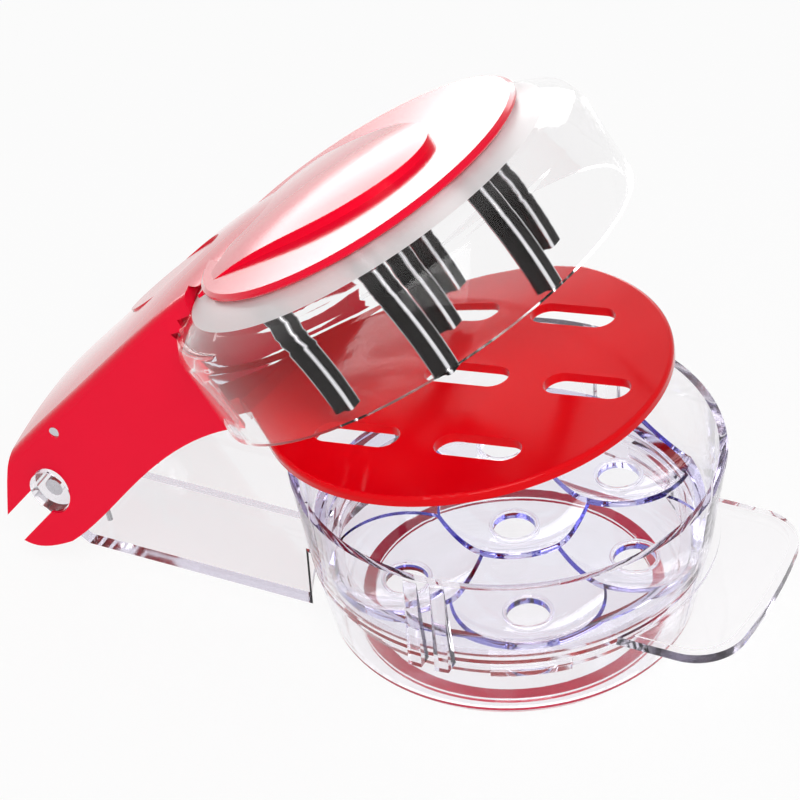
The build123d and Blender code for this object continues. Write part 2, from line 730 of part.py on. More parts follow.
with BuildPart() as spring_pin:
    with BuildSketch(side_plane(ARM_OPEN)):
        with Locations((SPRING_PIN_X, SPRING_PIN_Z)):
            Circle(SPRING_PIN_R)
    extrude(amount=HANDLE_HALF + SPRING_PIN_PAST, both=True)
save(spring_pin, "spring_pin")


# Angle about the hinge at which a bar at a radius stands at a height
def turn_at(radius, height):
    return degrees(asin(height / radius))


# Bar bent about the hinge, between two heights
def bent_bar(radius, y, long, wide, low, high, flute):
    start = turn_at(radius, high)
    with BuildPart() as bar:
        with BuildSketch(level_plane(ARM_OPEN + start, 0)):
            with Locations((radius, y)):
                RectangleRounded(long, wide, PLUNGER_ROUND)
                if flute:
                    with Locations((0, wide / 2 + FLUTE_R * 0.55), (0, -wide / 2 - FLUTE_R * 0.55)):
                        Circle(FLUTE_R, mode=Mode.SUBTRACT)
        revolve(axis=HINGE_AXIS, revolution_arc=start - turn_at(radius, low))
    return bar.part


# Place along the arm of a bar at a radius and a height
def reach_at(radius, height):
    return sqrt(radius**2 - height**2)


for spot, (dx, dy) in CELLS.items():
    radius = PLUNGER_RADIUS + dx
    with BuildPart() as plunger:
        add(bent_bar(radius, dy, PLUNGER_LONG, PLUNGER_WIDE, PLUNGER_LOW, HEAD_LOW + 0.3, True))
        with BuildSketch(level_plane(ARM_OPEN, HEAD_LOW)):
            with Locations((reach_at(radius, HEAD_LOW), dy)):
                RectangleRounded(HEAD_LONG, HEAD_WIDE, HEAD_ROUND)
        extrude(amount=HEAD_TOP - HEAD_LOW)
    save(plunger, "plunger_" + spot)

# Splash shroud with a boss for each plunger, open at the back where the arm's cheeks are
with BuildPart() as shroud_gap:
    add(arm_block(-CLEAR))
    with BuildSketch(side_plane(ARM_OPEN)):
        with Locations((CHEEK_FRONT_X + CLEAR, 0)):
            Rectangle(2 * AXIS_X, 2 * AXIS_X, align=(Align.MAX, Align.CENTER))
    extrude(amount=2 * HANDLE_HALF, both=True, mode=Mode.INTERSECT)
with BuildPart() as splash_shroud:
    shoulder = SHROUD_TOP - SHOULDER_DROP
    with BuildSketch(arm_plane(AXIS_X)):
        with BuildLine():
            Polyline(
                (SHROUD_IN_R, SHROUD_RIM),
                (SHROUD_R, SHROUD_RIM),
                (SHROUD_R, shoulder),
                (SHROUD_R - SHOULDER_IN, shoulder + SHOULDER_RISE),
                (SHROUD_TOP_R, SHROUD_TOP),
                (0, SHROUD_TOP),
                (0, SHROUD_CEILING),
                (SHROUD_TOP_R - 0.9, SHROUD_CEILING),
                (SHROUD_IN_R - 2.6, shoulder + 2.5),
                (SHROUD_IN_R - 1.2, shoulder + 1.2),
                (SHROUD_IN_R, shoulder - 0.2),
                close=True,
            )
        make_face()
    revolve(axis=arm_axis(AXIS_X))
    for dx, dy in CELLS.values():
        radius = PLUNGER_RADIUS + dx
        middle = SHROUD_CEILING - BOSS_DEEP / 2
        with BuildSketch(level_plane(ARM_OPEN, SHROUD_CEILING - BOSS_DEEP)):
            with Locations((reach_at(radius, middle), dy)):
                RectangleRounded(BOSS_LONG, BOSS_WIDE, BOSS_ROUND)
        extrude(amount=BOSS_DEEP + 0.5)
    add(shroud_gap.part, mode=Mode.SUBTRACT)
    # Room for the plate's flanks where they come up inside the shroud's rear ends
    with BuildSketch(level_plane(ARM_OPEN - ARM_STOP, PLATE_TOP + RELIEF)):
        add(plate_outline(RELIEF))
        with Locations((AXIS_X, 0)):
            Circle(SHROUD_IN_R - 7.5, mode=Mode.SUBTRACT)
    extrude(amount=-SHOULDER_DROP, mode=Mode.SUBTRACT)
    for dx, dy in CELLS.values():
        radius = PLUNGER_RADIUS + dx
        grown = 2 * RUNNING
        add(
            bent_bar(radius, dy, PLUNGER_LONG + grown, PLUNGER_WIDE + grown, SHROUD_RIM, HEAD_LOW + 1, False),
            mode=Mode.SUBTRACT,
        )
        with BuildSketch(level_plane(ARM_OPEN, HEAD_LOW - SNUG)):
            with Locations((reach_at(radius, HEAD_LOW), dy)):
                RectangleRounded(HEAD_LONG + grown, HEAD_WIDE + grown, HEAD_ROUND + RUNNING)
        extrude(amount=SHROUD_TOP - HEAD_LOW + 1, mode=Mode.SUBTRACT)
    with BuildSketch(level_plane(ARM_OPEN, SHROUD_CEILING - SCREW_HEAD)):
        with Locations(*SCREW_SPOTS):
            Circle(SCREW_R + CLEAR)
    extrude(amount=SCREW_HEAD + 2 * SHROUD_ROOF, mode=Mode.SUBTRACT)
save(splash_shroud, "splash_shroud")

# Screws from below through the shroud into the flange
with BuildPart() as shroud_screws:
    with BuildSketch(level_plane(ARM_OPEN, SHROUD_CEILING - SNUG - SCREW_HEAD)):
        with Locations(*SCREW_SPOTS):
            Circle(SCREW_HEAD_R)
    extrude(amount=SCREW_HEAD)
    with BuildSketch(level_plane(ARM_OPEN, SHROUD_CEILING - SNUG - SCREW_HEAD / 2)):
        with Locations(*SCREW_SPOTS):
            Circle(SCREW_R)
    extrude(amount=SCREW_END - SHROUD_CEILING + SCREW_HEAD / 2)
save(shroud_screws, "shroud_screws")

with BuildPart() as hinge_pin:
    with BuildSketch(Plane.XZ):
        with Locations((HINGE_X, HINGE_Z)):
            Circle(PIN_R)
    extrude(amount=HANDLE_HALF + PIN_PAST, both=True)
save(hinge_pin, "hinge_pin")


# Spring wound on the hinge pin: a foot down to the handle's floor, the coil, and an arm that leaves the coil
def coil_spring(foot_y, arm_y, foot_slope, end_turn, reach):
    start_turn = 90 - foot_slope
    turned = 360 * COIL_TURNS + end_turn - start_turn
    rise = arm_y - foot_y
    with BuildPart() as spring:
        with BuildLine(mode=Mode.PRIVATE):
            low_end = (HINGE_X, foot_y, HINGE_Z)
            coil = Helix(rise * 360 / turned, rise, COIL_R, low_end, (0, 1, 0), lefthand=True)
        first = coil @ 0 - HINGE
        coil = coil.rotate(HINGE_AXIS, degrees(atan2(first.Z, first.X)) - start_turn)
        drop = (coil @ 0).Z - HANDLE_LOW_Z - HANDLE_WALL - WIRE_R - SNUG
        foot = coil @ 0 - (coil % 0) * (drop / (coil % 0).Z)
        with BuildLine() as path:
            Line(foot, coil @ 0)
            add(coil)
            Line(coil @ 1, coil @ 1 + (coil % 1) * reach)
        with BuildSketch(Plane(origin=foot, z_dir=coil % 0)):
            Circle(WIRE_R)
        sweep(path=path.line)
    return spring


# The plate's spring leg runs under the flatter of the two slopes below the tail
ROOT_SLOPE = degrees(atan2(TAIL_ROOT_RISE + TAIL_HEEL, TAIL_ROOT_X))
TAIL_RISE = PLATE_TOP - TAIL_KNEE_DROP - HUB_R - TAIL_ROOT_RISE
TAIL_SLOPE = degrees(atan2(TAIL_RISE, TAIL_BEND_X - TAIL_KNEE_BACK - TAIL_ROOT_X))
PLATE_LEG_TURN = min(ROOT_SLOPE, TAIL_SLOPE) + PLATE_LEG_LIFT
COIL_START = HUB_HALF + COIL_GAP
COIL_END = COIL_START + COIL_PITCH * COIL_TURNS
arm_spring = coil_spring(COIL_START, COIL_END, FOOT_SLOPE, 0, ARM_LEG)
save(arm_spring, "arm_spring")
plate_spring = coil_spring(-COIL_END, -COIL_START, FOOT_SLOPE, PLATE_OPEN + PLATE_LEG_TURN - 90, PLATE_LEG)
save(plate_spring, "plate_spring")
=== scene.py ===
from math import cos, hypot, radians, sin, sqrt

import bmesh
import bpy
from mathutils import Matrix, Vector


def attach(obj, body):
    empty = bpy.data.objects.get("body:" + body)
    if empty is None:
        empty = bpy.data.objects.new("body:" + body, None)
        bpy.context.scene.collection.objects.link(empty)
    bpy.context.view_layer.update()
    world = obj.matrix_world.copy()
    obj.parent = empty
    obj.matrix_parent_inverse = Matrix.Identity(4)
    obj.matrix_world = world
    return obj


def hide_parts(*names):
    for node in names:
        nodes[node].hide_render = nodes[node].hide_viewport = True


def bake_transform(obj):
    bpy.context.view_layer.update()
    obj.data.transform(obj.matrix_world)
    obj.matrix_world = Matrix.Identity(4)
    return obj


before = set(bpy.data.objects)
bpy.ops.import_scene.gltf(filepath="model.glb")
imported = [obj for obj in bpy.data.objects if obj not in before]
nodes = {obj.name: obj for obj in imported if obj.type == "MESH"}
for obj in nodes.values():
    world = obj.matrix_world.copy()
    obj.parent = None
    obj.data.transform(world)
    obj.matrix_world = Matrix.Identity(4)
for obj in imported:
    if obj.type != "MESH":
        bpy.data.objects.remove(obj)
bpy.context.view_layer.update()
scene = bpy.context.scene

# Camera fitted to the photograph: place in metres, axes as rows, focal length in millimetres
CAMERA_PLACE = (0.3260, -0.6689, 0.6345)
CAMERA_RIGHT = (0.9010, 0.4303, -0.0556)
CAMERA_UP = (-0.2222, 0.5678, 0.7926)
CAMERA_BACK = (0.3726, -0.7018, 0.6072)
CAMERA_LENS = 171.0
CAMERA_SENSOR = 36.0

# Hinge, opening of the arm and lattice of the cups and plungers, in metres and radians
HINGE_X = -0.116
HINGE_Z = 0.0245
ARM_OPEN = radians(33)
ARM_AXIS = 0.1168
PITCH = 0.033
ROW = PITCH * sqrt(3) / 2
LATTICE_X = 0.001
CELLS = ((0, 0), (PITCH, 0)) + tuple((x, y) for x in (PITCH / 2, -PITCH / 2) for y in (ROW, -ROW))

# Radius of the central plunger's arc about the hinge, and the bands of painted highlight along the edges of
# the plungers' bars
PLUNGER_RADIUS = 0.1174
EDGE_HIGHLIGHT_LONG = 0.0024
EDGE_HIGHLIGHT_WIDE = 0.0016
EDGE_HIGHLIGHT_FADE = 0.0003

# Frosted part of the shroud's shoulder: above this height, past this radius and facing up by this much
SHOULDER_LOW = 0.0306
SHOULDER_R = 0.0435
SHOULDER_FACING = 0.2

# Tray's dishes and the lips round their pit holes
DISH_R = 0.0282
DISH_BOTTOM = 0.0234
LIP_RADIUS = 0.00595
LIP_THICK = 0.00045
LIP_SEGMENTS = 64
LIP_SIDES = 12

# Shroud's screws: head as shares of its radius and height, shank, thread ridges and cross recess
SCREW_LOW = 0.03028
SCREW_HEAD_R = 0.0029
SCREW_HEAD = 0.002
SCREW_HEAD_FORM = ((0.6, 0), (0.85, 0.12), (0.97, 0.38), (1, 0.65), (1, 1))
SCREW_R = 0.0015
SCREW_LONG = 0.0071
SCREW_SIDES = 24
THREAD_DEEP = 0.0003
THREAD_STEP = 0.0004
RECESS_LONG = 0.0032
RECESS_WIDE = 0.0008
RECESS_DEEP = 0.0009

# Distance under which points are one, and angle from which an edge stays sharp
MERGE_NEAR = 1e-6
SHARP_EDGE = radians(30)

# Clear plastic: bend of light, share of a lamp's light that a face passes, head-on mirror and cloud step
PLASTIC_BEND = 1.49
LIGHT_PASSED = 0.85
CLEAR_SHINE = (0.35, 0.35, 0.35)
CLOUD_STEP = 0.03

# Red plastic: weak shine straight on, and a coat that grows between these turns away from the viewer
RED_BEND = 1.5
RED_SHINE = 0.1
COAT_ROUGH = 0.14
COAT_START = 0.4
COAT_END = 0.8

# Height of the fine grain on all surfaces
GRAIN_HEIGHT = 0.0002

# Studio: half of the floor's width, its grey, the share of it that glows, and the level of the soft light
FLOOR_HALF = 4.0
FLOOR_GREY = (0.86, 0.86, 0.86)
FLOOR_GLOW = 0.9
SOFT_LIGHT = 0.45
CLEAR_BOUNCES = 32
SHADOW_BOUNCES = 16


# Small builder for node trees: adds nodes, sets sockets and links them
class Tree:
    def __init__(self, tree):
        self.tree = tree

    def add(self, kind, **sockets):
        node = self.tree.nodes.new(kind)
        for name, value in sockets.items():
            self.put(node, name, value)
        return node

    def put(self, node, name, value):
        socket = node.inputs[name.replace("_", " ")] if isinstance(name, str) else node.inputs[name]
        if isinstance(value, bpy.types.NodeSocket):
            self.tree.links.new(value, socket)
        else:
            socket.default_value = value

    def math(self, operation, *values):
        node = self.tree.nodes.new("ShaderNodeMath")
        node.operation = operation
        for index, value in enumerate(values):
            self.put(node, index, value)
        return node.outputs[0]

    def ramp(self, value, start, end, low, high):
        node = self.tree.nodes.new("ShaderNodeMapRange")
        for index, level in enumerate((value, start, end, low, high)):
            self.put(node, index, level)
        return node.outputs[0]

    def mix(self, factor, first, second):
        node = self.tree.nodes.new("ShaderNodeMix")
        node.data_type = "RGBA"
        self.put(node, 0, factor)
        colors = [socket for socket in node.inputs if socket.type == "RGBA"]
        for socket, value in zip(colors, (first, second)):
            if isinstance(value, bpy.types.NodeSocket):
                self.tree.links.new(value, socket)
            else:
                socket.default_value = (*value, 1)
        return [socket for socket in node.outputs if socket.type == "RGBA"][0]


# Surface of a moulded or drawn piece: fine grain for bump, wide smears for roughness and tone
def make_surface_group():
    group = bpy.data.node_groups.new("handled_surface", "ShaderNodeTree")
    face = group.interface
    for name, value in (("Grain Scale", 900.0), ("Smear Scale", 40.0), ("Smooth", 0.08), ("Dull", 0.2)):
        face.new_socket(name, in_out="INPUT", socket_type="NodeSocketFloat").default_value = value
    face.new_socket("Stretch", in_out="INPUT", socket_type="NodeSocketVector").default_value = (1, 1, 1)
    for name in ("Tone", "Roughness", "Height"):
        face.new_socket(name, in_out="OUTPUT", socket_type="NodeSocketFloat")
    t = Tree(group)
    source = t.add("NodeGroupInput")
    place = t.add("ShaderNodeTexCoord")
    spread = t.add("ShaderNodeVectorMath")
    spread.operation = "MULTIPLY"
    t.put(spread, 0, place.outputs["Object"])
    t.put(spread, 1, source.outputs["Stretch"])
    grain = t.add("ShaderNodeTexNoise", Vector=spread.outputs[0], Detail=3)
    t.put(grain, "Scale", source.outputs["Grain Scale"])
    smear = t.add("ShaderNodeTexNoise", Vector=spread.outputs[0], Detail=4, Distortion=0.6)
    t.put(smear, "Scale", source.outputs["Smear Scale"])
    rough = t.ramp(smear.outputs["Fac"], 0.3, 0.7, source.outputs["Smooth"], source.outputs["Dull"])
    out = t.add("NodeGroupOutput")
    t.put(out, "Tone", smear.outputs["Fac"])
    t.put(out, "Roughness", rough)
    t.put(out, "Height", grain.outputs["Fac"])
    return group


SURFACE = make_surface_group()


# Material with the handled surface on it, and the parts of it that the finishes below still set
def new_material(name, surface, bump, light, dark):
    material = bpy.data.materials.new(name)
    material.use_nodes = True
    t = Tree(material.node_tree)
    shader = material.node_tree.nodes["Principled BSDF"]
    effect = t.add("ShaderNodeGroup")
    effect.node_tree = SURFACE
    for key, value in surface.items():
        effect.inputs[key].default_value = value
    color = t.mix(effect.outputs["Tone"], dark, light)
    t.put(shader, "Base Color", color)
    t.put(shader, "Roughness", effect.outputs["Roughness"])
    relief = t.add("ShaderNodeBump", Height=effect.outputs["Height"], Strength=bump, Distance=GRAIN_HEIGHT)
    t.put(shader, "Normal", relief.outputs["Normal"])
    return material, t, shader, color


# Clear plastic: it bends what is seen through it, tints with depth and lets most of a lamp's light through
def clear_plastic(name, tint, depth_tint, density, bend=PLASTIC_BEND):
    surface = {"Grain Scale": 120.0, "Smear Scale": 25.0, "Smooth": 0.01, "Dull": 0.05}
    cloudy = tuple(level - CLOUD_STEP for level in tint)
    material, t, shader, _ = new_material(name, surface, 0.06, tint, cloudy)
    shader.inputs["Transmission Weight"].default_value = 1.0
    shader.inputs["IOR"].default_value = bend
    shader.inputs["Specular Tint"].default_value = (*CLEAR_SHINE, 1)
    path = t.add("ShaderNodeLightPath")
    t.put(shader, "Alpha", t.math("MULTIPLY_ADD", path.outputs["Is Shadow Ray"], -LIGHT_PASSED, 1.0))
    if density:
        depth = t.add("ShaderNodeVolumeAbsorption", Color=(*depth_tint, 1), Density=density)
        t.put(material.node_tree.nodes["Material Output"], "Volume", depth.outputs["Volume"])
    return material


# Frosted plastic: the same plastic with a matt face that scatters most of the light
def frosted_plastic(name, tint, cloudy, clear_share):
    surface = {"Grain Scale": 900.0, "Smear Scale": 30.0, "Smooth": 0.3, "Dull": 0.5}
    material, _, shader, _ = new_material(name, surface, 0.2, tint, cloudy)
    shader.inputs["Transmission Weight"].default_value = clear_share
    shader.inputs["IOR"].default_value = PLASTIC_BEND
    return material


# Red plastic: deep colour seen straight on, and a gloss coat that grows towards a glancing view
def red_plastic(name, light, dark, smooth, dull, bump, glance):
    surface = {"Grain Scale": 700.0, "Smear Scale": 30.0, "Smooth": smooth, "Dull": dull}
    material, t, shader, _ = new_material(name, surface, bump, light, dark)
    shader.inputs["IOR"].default_value = RED_BEND
    shader.inputs["Specular IOR Level"].default_value = RED_SHINE
    shader.inputs["Coat Roughness"].default_value = COAT_ROUGH
    weight = t.add("ShaderNodeLayerWeight", Blend=0.5)
    t.put(shader, "Coat Weight", t.ramp(weight.outputs["Facing"], COAT_START, COAT_END, 0.0, glance))
    return material


# Steel with drawn marks along one axis
def metal(name, light, dark, smooth, dull, stretch):
    surface = {"Grain Scale": 500.0, "Smear Scale": 220.0, "Smooth": smooth, "Dull": dull, "Stretch": stretch}
    material, t, shader, color = new_material(name, surface, 0.08, light, dark)
    shader.inputs["Metallic"].default_value = 1.0
    return material, t, shader, color


# Plungers: steel with bright bands painted along the edges as highlights and near-black faces painted as a
# dark reflection, found from the distance to each bar's middle lines
def metal_with_painted_light(name, painted_highlight_light, painted_highlight_dark, face):
    material, t, shader, edge = metal(name, painted_highlight_light, painted_highlight_dark, 0.08, 0.2, (1, 1, 0.15))
    place = t.add("ShaderNodeTexCoord")
    axes = t.add("ShaderNodeSeparateXYZ", Vector=place.outputs["Object"])
    along = t.math("SUBTRACT", axes.outputs["X"], HINGE_X)
    above = t.math("SUBTRACT", axes.outputs["Z"], HINGE_Z)
    radius = t.math("SQRT", t.math("ADD", t.math("MULTIPLY", along, along), t.math("MULTIPLY", above, above)))
    off_middle = t.math("PINGPONG", t.math("SUBTRACT", radius, PLUNGER_RADIUS), PITCH / 4)
    off_row = t.math("PINGPONG", axes.outputs["Y"], ROW / 2)
    near = []
    for distance, start in ((off_middle, EDGE_HIGHLIGHT_LONG), (off_row, EDGE_HIGHLIGHT_WIDE)):
        near.append(t.ramp(distance, start - EDGE_HIGHLIGHT_FADE, start + EDGE_HIGHLIGHT_FADE, 0.0, 1.0))
    # Base colour: painted highlight near the bars' edges, painted dark reflection on their faces
    t.put(shader, "Base Color", t.mix(t.math("MULTIPLY", *near), face, edge))
    return material


CLEAR_FRAME = clear_plastic(
    "clear_frame", tint=(0.985, 0.975, 0.98), depth_tint=(0.62, 0.57, 0.72), density=15.0
)
CLEAR_TRAY = clear_plastic(
    "clear_tray", tint=(0.98, 0.975, 0.99), depth_tint=(0.40, 0.38, 0.80), density=55.0
)
CLEAR_CUP = clear_plastic(
    "clear_cup", tint=(0.99, 0.985, 0.99), depth_tint=(0.60, 0.56, 0.76), density=24.0
)
# The shroud's wall is thin and has two finishes, so it has no depth tint
CLEAR_SHROUD = clear_plastic(
    "clear_shroud", tint=(0.97, 0.965, 0.968), depth_tint=(1, 1, 1), density=0, bend=1.4
)
FROSTED = frosted_plastic(
    "frosted_shoulder", tint=(0.95, 0.93, 0.935), cloudy=(0.88, 0.86, 0.865), clear_share=0.4
)
RED_ARM = red_plastic(
    "arm_red", (0.92, 0.004, 0.036), (0.84, 0.002, 0.028), smooth=0.10, dull=0.22, bump=0.12, glance=1.0
)
RED_PLATE = red_plastic(
    "plate_red", (0.78, 0.0005, 0.005), (0.68, 0.0004, 0.004), smooth=0.07, dull=0.16, bump=0.06, glance=0.6
)
RED_BADGE = red_plastic(
    "badge_red", (0.86, 0.004, 0.034), (0.76, 0.003, 0.026), smooth=0.18, dull=0.3, bump=0.1, glance=1.0
)
RING_RUBBER = red_plastic(
    "ring_red_rubber", (0.66, 0.003, 0.05), (0.54, 0.002, 0.04), smooth=0.45, dull=0.65, bump=0.4, glance=0.1
)
# Plunger steel: the bright edge colours are a painted highlight, and the near-black face is a painted dark
# reflection
PLUNGER_STEEL_PAINTED_LIGHT = metal_with_painted_light(
    "plunger_painted_highlights", (0.9, 0.9, 0.92), (0.72, 0.72, 0.75), face=(0.014, 0.012, 0.012)
)
PIN_STEEL, *_ = metal(
    "pin_steel", (0.72, 0.72, 0.74), (0.48, 0.48, 0.51), smooth=0.15, dull=0.32, stretch=(1, 0.2, 1)
)

# Finish of each node. The plungers take the finish that is left
NODE_FINISH = {
    "base_frame": CLEAR_FRAME,
    "pit_container": CLEAR_CUP,
    "cherry_tray": CLEAR_TRAY,
    "splash_shroud": CLEAR_SHROUD,
    "arm_shell": RED_ARM,
    "stripper_plate": RED_PLATE,
    "badge_blank": RED_BADGE,
    "non_slip_ring": RING_RUBBER,
    "spring_pin": PIN_STEEL,
    "hinge_pin": PIN_STEEL,
    "arm_spring": PIN_STEEL,
    "plate_spring": PIN_STEEL,
    "shroud_screws": PIN_STEEL,
}
for name, piece in nodes.items():
    piece.data.materials.clear()
    piece.data.materials.append(NODE_FINISH.get(name, PLUNGER_STEEL_PAINTED_LIGHT))


# Place at rest of a point that is given along, across and above the closed arm
def arm_point(along, across, above):
    x = HINGE_X + along * cos(ARM_OPEN) - above * sin(ARM_OPEN)
    return Vector((x, across, HINGE_Z + along * sin(ARM_OPEN) + above * cos(ARM_OPEN)))


ARM_UP = Vector((-sin(ARM_OPEN), 0, cos(ARM_OPEN)))
ARM_ALONG = Vector((cos(ARM_OPEN), 0, sin(ARM_OPEN)))


# Object of its own for a mesh
def new_piece(name, mesh):
    piece = bpy.data.objects.new(name, mesh)
    scene.collection.objects.link(piece)
    return piece


# Copy of a node's mesh with its loose triangles joined and its curved faces smooth
def merged_form(node):
    form = bmesh.new()
    form.from_mesh(nodes[node].data)
    bmesh.ops.remove_doubles(form, verts=form.verts, dist=MERGE_NEAR)
    for face in form.faces:
        face.smooth = True
    return form


def plain_mesh(form, name):
    mesh = bpy.data.meshes.new(name)
    form.to_mesh(mesh)
    form.free()
    return mesh


def finished_mesh(form, name, *finishes):
    mesh = plain_mesh(form, name)
    mesh.set_sharp_from_angle(angle=SHARP_EDGE)
    for finish in finishes:
        mesh.materials.append(finish)
    return mesh


# Shroud: a merged copy of its solid, frosted on the upper part of its sloping shoulder
def make_shroud():
    form = merged_form("splash_shroud")
    centre = arm_point(ARM_AXIS, 0, 0)
    cut = centre + ARM_UP * SHOULDER_LOW
    bmesh.ops.bisect_plane(form, geom=[*form.verts, *form.edges, *form.faces], plane_co=cut, plane_no=ARM_UP)
    for face in form.faces:
        spot = face.calc_center_median() - centre
        high = spot.dot(ARM_UP) > SHOULDER_LOW
        outside = hypot(spot.dot(ARM_ALONG), spot.y) > SHOULDER_R
        faces_up = face.normal.dot(ARM_UP) > SHOULDER_FACING
        face.material_index = 1 if high and outside and faces_up else 0
    shroud = new_piece("shroud", finished_mesh(form, "shroud", CLEAR_SHROUD, FROSTED))
    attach(shroud, "arm")
    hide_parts("splash_shroud")


make_shroud()


# Springs: a merged copy of each spring's solid, left in place and not attached to a body
def make_spring(name, node):
    spring = new_piece(name, finished_mesh(merged_form(node), name, PIN_STEEL))
    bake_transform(spring)
    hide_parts(node)


make_spring("wound_arm_spring", "arm_spring")
make_spring("wound_plate_spring", "plate_spring")


# Empty geometry tree with an input for the spots, the given named inputs and one output
def new_geometry_tree(name, inputs):
    group = bpy.data.node_groups.new(name, "GeometryNodeTree")
    group.interface.new_socket("Geometry", in_out="INPUT", socket_type="NodeSocketGeometry")
    for socket, kind in inputs.items():
        group.interface.new_socket(socket, in_out="INPUT", socket_type="NodeSocket" + kind)
    group.interface.new_socket("Geometry", in_out="OUTPUT", socket_type="NodeSocketGeometry")
    t = Tree(group)
    return group, t, t.add("NodeGroupInput").outputs


# Last steps of each tree: copies on the spots, made real, with their material
def finish_tree(t, source, shape):
    copies = t.add("GeometryNodeInstanceOnPoints", Points=source["Geometry"], Instance=shape)
    real = t.add("GeometryNodeRealizeInstances", Geometry=copies.outputs["Instances"])
    dressed = t.add("GeometryNodeSetMaterial", Geometry=real.outputs[0], Material=source["Material"])
    t.add("NodeGroupOutput", Geometry=dressed.outputs[0])


# Round lip that goes on each spot
def make_lip_tree():
    group, t, source = new_geometry_tree(
        "pit_hole_lips", {"Lip Radius": "Float", "Lip Thick": "Float", "Material": "Material"}
    )
    rim = t.add("GeometryNodeCurvePrimitiveCircle", Resolution=LIP_SEGMENTS, Radius=source["Lip Radius"])
    section = t.add("GeometryNodeCurvePrimitiveCircle", Resolution=LIP_SIDES, Radius=source["Lip Thick"])
    lip = t.add("GeometryNodeCurveToMesh", Curve=rim.outputs[0], Profile_Curve=section.outputs[0])
    smooth = t.add("GeometryNodeSetShadeSmooth", Geometry=lip.outputs[0])
    finish_tree(t, source, smooth.outputs[0])
    return group


# Turned screw that goes on each spot, stood along the arm's own upright
def make_screw_tree():
    group, t, source = new_geometry_tree(
        "cross_head_screws", {"Screw": "Object", "Turn": "Vector", "Material": "Material"}
    )
    blank = t.add("GeometryNodeObjectInfo", Object=source["Screw"])
    turn = t.add("FunctionNodeEulerToRotation", Euler=source["Turn"])
    stood = t.add("GeometryNodeTransform", Geometry=blank.outputs["Geometry"], Rotation=turn.outputs[0])
    finish_tree(t, source, stood.outputs[0])
    return group


# Runs a tree on its spots, and gives the result as a plain mesh
def grow(name, group, spots, settings):
    mesh = bpy.data.meshes.new(name + "_spots")
    mesh.from_pydata(spots, [], [])
    holder = bpy.data.objects.new(name + "_spots", mesh)
    scene.collection.objects.link(holder)
    modifier = holder.modifiers.new("grow", "NODES")
    modifier.node_group = group
    for item in group.interface.items_tree:
        if item.in_out == "INPUT" and item.name in settings:
            modifier[item.identifier] = settings[item.name]
    evaluated = holder.evaluated_get(bpy.context.evaluated_depsgraph_get())
    result = bpy.data.meshes.new_from_object(evaluated)
    result.name = name
    bpy.data.objects.remove(holder)
    return result


# Lips round the pit holes, which lie on the curved dishes where the holes cut them
def make_pit_hole_lips():
    sag = DISH_R - sqrt(DISH_R**2 - LIP_RADIUS**2)
    height = DISH_BOTTOM + sag + LIP_THICK
    spots = [(LATTICE_X + x, y, height) for x, y in CELLS]
    settings = {"Lip Radius": LIP_RADIUS, "Lip Thick": LIP_THICK, "Material": CLEAR_TRAY}
    lips = new_piece("pit_hole_lips", grow("pit_hole_lips", make_lip_tree(), spots, settings))
    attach(lips, "tray")


make_pit_hole_lips()


# Cross recess in the open end of a screw's head: walls, a floor and the face round its mouth
def add_recess(form):
    rim = [edge for edge in form.edges if edge.is_boundary]
    far, near = RECESS_LONG / 2, RECESS_WIDE / 2
    arm = ((far, -near), (far, near), (near, near))
    outline = []
    for quarter in range(4):
        for x, y in arm:
            for _ in range(quarter):
                x, y = -y, x
            outline.append((x, y))
    mouth = [form.verts.new((x, y, 0)) for x, y in outline]
    floor = [form.verts.new((x, y, RECESS_DEEP)) for x, y in outline]
    for corner in range(len(outline)):
        before = corner - 1
        form.faces.new((mouth[before], mouth[corner], floor[corner], floor[before]))
    form.faces.new(floor)
    mouth_edges = [edge for edge in form.edges if edge.is_boundary and edge not in rim]
    bmesh.ops.triangle_fill(form, edges=rim + mouth_edges, use_beauty=True)


# Screw, turned about Z: a rounded head below with its recess, then a shank with thread ridges
def make_screw():
    profile = [(r * SCREW_HEAD_R, z * SCREW_HEAD) for r, z in SCREW_HEAD_FORM]
    ridges = int((SCREW_LONG - SCREW_HEAD) / THREAD_STEP)
    for step in range(ridges):
        profile.append((SCREW_R - THREAD_DEEP * (step % 2), SCREW_HEAD + step * THREAD_STEP))
    profile += [(SCREW_R - THREAD_DEEP, SCREW_LONG), (0, SCREW_LONG)]
    form = bmesh.new()
    points = [form.verts.new((r, 0, z)) for r, z in profile]
    edges = [form.edges.new(pair) for pair in zip(points, points[1:])]
    turned = {"axis": (0, 0, 1), "cent": (0, 0, 0), "angle": radians(360), "steps": SCREW_SIDES}
    bmesh.ops.spin(form, geom=points + edges, **turned)
    bmesh.ops.remove_doubles(form, verts=form.verts, dist=MERGE_NEAR)
    add_recess(form)
    bmesh.ops.recalc_face_normals(form, faces=form.faces)
    return bpy.data.objects.new("screw", plain_mesh(form, "screw"))


# Four screws, in the gaps between the plungers
def make_shroud_screws():
    places = [(x, y) for x in (PITCH / 2, -PITCH / 2) for y in (ROW / 3, -ROW / 3)]
    spots = [arm_point(ARM_AXIS + x, y, SCREW_LOW) for x, y in places]
    screw = make_screw()
    scene.collection.objects.link(screw)
    settings = {"Screw": screw, "Turn": (0, -ARM_OPEN, 0), "Material": PIN_STEEL}
    mesh = grow("cross_head_screws", make_screw_tree(), spots, settings)
    bpy.data.objects.remove(screw)
    mesh.set_sharp_from_angle(angle=SHARP_EDGE)
    screws = new_piece("cross_head_screws", mesh)
    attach(screws, "arm")
    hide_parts("shroud_screws")


make_shroud_screws()


# Rays that show the white studio: straight from the camera, in a reflection or through clear plastic
def rays_that_see_white(t):
    path = t.add("ShaderNodeLightPath")
    seen = t.math("MAXIMUM", path.outputs["Is Camera Ray"], path.outputs["Is Glossy Ray"])
    return t.math("MAXIMUM", seen, path.outputs["Is Transmission Ray"])


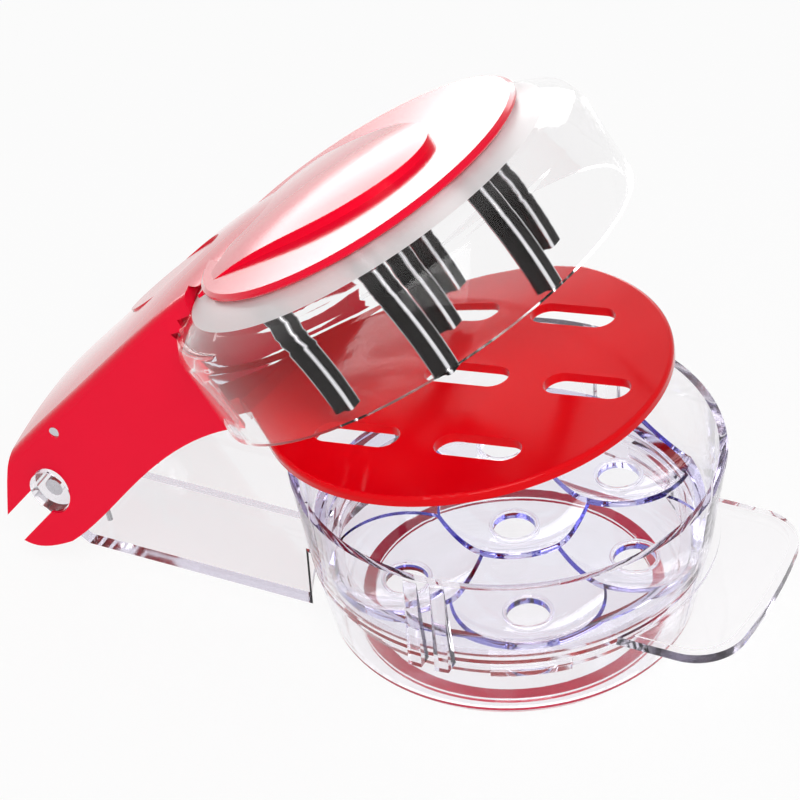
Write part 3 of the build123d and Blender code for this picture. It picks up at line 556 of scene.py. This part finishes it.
# Floor's finish: white to those rays, with a share of plain grey left for the shadow
def floor_white():
    material = bpy.data.materials.new("floor_white")
    material.use_nodes = True
    t = Tree(material.node_tree)
    material.node_tree.nodes.remove(material.node_tree.nodes["Principled BSDF"])
    plain = t.add("ShaderNodeBsdfDiffuse", Color=(*FLOOR_GREY, 1))
    glow = t.add("ShaderNodeEmission", Color=(1, 1, 1, 1), Strength=1.0)
    mix = t.add("ShaderNodeMixShader")
    t.put(mix, 0, t.math("MULTIPLY", rays_that_see_white(t), FLOOR_GLOW))
    t.put(mix, 1, plain.outputs[0])
    t.put(mix, 2, glow.outputs[0])
    t.put(material.node_tree.nodes["Material Output"], "Surface", mix.outputs[0])
    return material


def make_floor():
    form = bmesh.new()
    bmesh.ops.create_grid(form, x_segments=1, y_segments=1, size=FLOOR_HALF)
    mesh = plain_mesh(form, "floor")
    mesh.materials.append(floor_white())
    floor = bpy.data.objects.new("floor", mesh)
    scene.collection.objects.link(floor)


make_floor()


# World: white to those rays, and a plain level of soft light on the object
def make_world():
    world = bpy.data.worlds.new("studio")
    scene.world = world
    world.use_nodes = True
    t = Tree(world.node_tree)
    back = world.node_tree.nodes["Background"]
    back.inputs["Color"].default_value = (1, 1, 1, 1)
    t.put(back, "Strength", t.math("MULTIPLY_ADD", rays_that_see_white(t), 1.0 - SOFT_LIGHT, SOFT_LIGHT))


make_world()


# Soft box that the camera doesn't see. One for reflections alone gives no light to matt faces
def soft_box(name, place, aim, size, power, lights_matt):
    lamp = bpy.data.lights.new(name, "AREA")
    lamp.shape = "RECTANGLE"
    lamp.size, lamp.size_y = size
    lamp.energy = power
    lamp_object = bpy.data.objects.new(name, lamp)
    scene.collection.objects.link(lamp_object)
    lamp_object.location = place
    lamp_object.rotation_euler = (Vector(aim) - Vector(place)).to_track_quat("-Z", "Y").to_euler()
    lamp_object.visible_camera = False
    lamp_object.visible_diffuse = lights_matt


soft_box(
    "key_light", place=(0.5, -0.9, 1.3), aim=(0, 0, 0.05), size=(0.9, 0.9), power=16.0, lights_matt=True
)
soft_box(
    "rim_light", place=(-0.62, 0.62, 0.2), aim=(-0.05, 0, 0.1), size=(1.0, 0.55), power=5.5, lights_matt=False
)

# Clear plastic needs many bounces, or its thick edges go black
scene.cycles.max_bounces = CLEAR_BOUNCES
scene.cycles.transmission_bounces = CLEAR_BOUNCES
scene.cycles.glossy_bounces = CLEAR_BOUNCES
scene.cycles.transparent_max_bounces = SHADOW_BOUNCES

camera = bpy.data.cameras.new("camera")
camera.lens = CAMERA_LENS
camera.sensor_width = CAMERA_SENSOR
camera_object = bpy.data.objects.new("camera", camera)
scene.collection.objects.link(camera_object)
turn = Matrix((CAMERA_RIGHT, CAMERA_UP, CAMERA_BACK)).transposed()
camera_object.matrix_world = Matrix.Translation(CAMERA_PLACE) @ turn.to_4x4()
scene.camera = camera_object

scene.view_settings.view_transform = "Standard"
